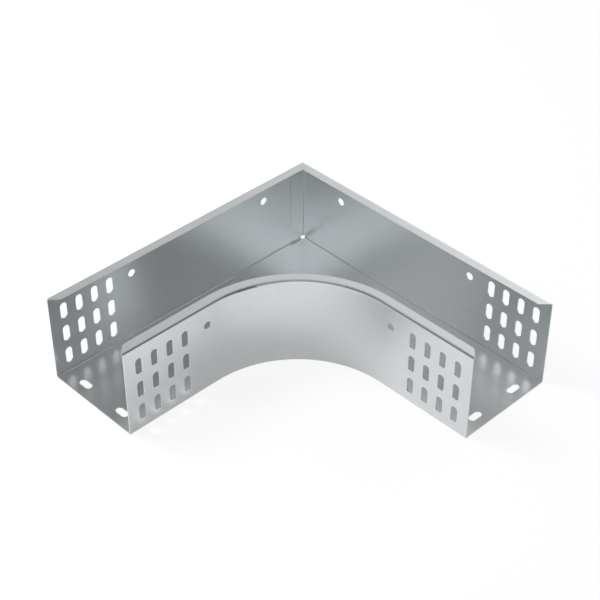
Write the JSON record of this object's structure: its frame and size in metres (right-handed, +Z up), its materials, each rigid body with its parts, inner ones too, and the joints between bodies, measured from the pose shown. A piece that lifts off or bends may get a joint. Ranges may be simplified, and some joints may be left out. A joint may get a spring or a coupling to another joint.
{
  "type": "cable tray bend",
  "caption": "Flat right-angle bend for a metal cable tray, with a square outer corner, a round inner wall, turned-in top flanges and slotted walls at each end.",
  "frame": {"origin": "on the underside of the base, where the centre lines of the two legs cross", "axes": "+X and +Y run along the two legs from the corner to their open ends, +Z points up out of the channel"},
  "size_m": [0.3, 0.3, 0.088],
  "materials": {
    "galvanised_sheet": "satin"
  },
  "bodies": {
    "root": {"tray_body": "galvanised_sheet", "inner_wall": "galvanised_sheet"}
  },
  "joints": []
}
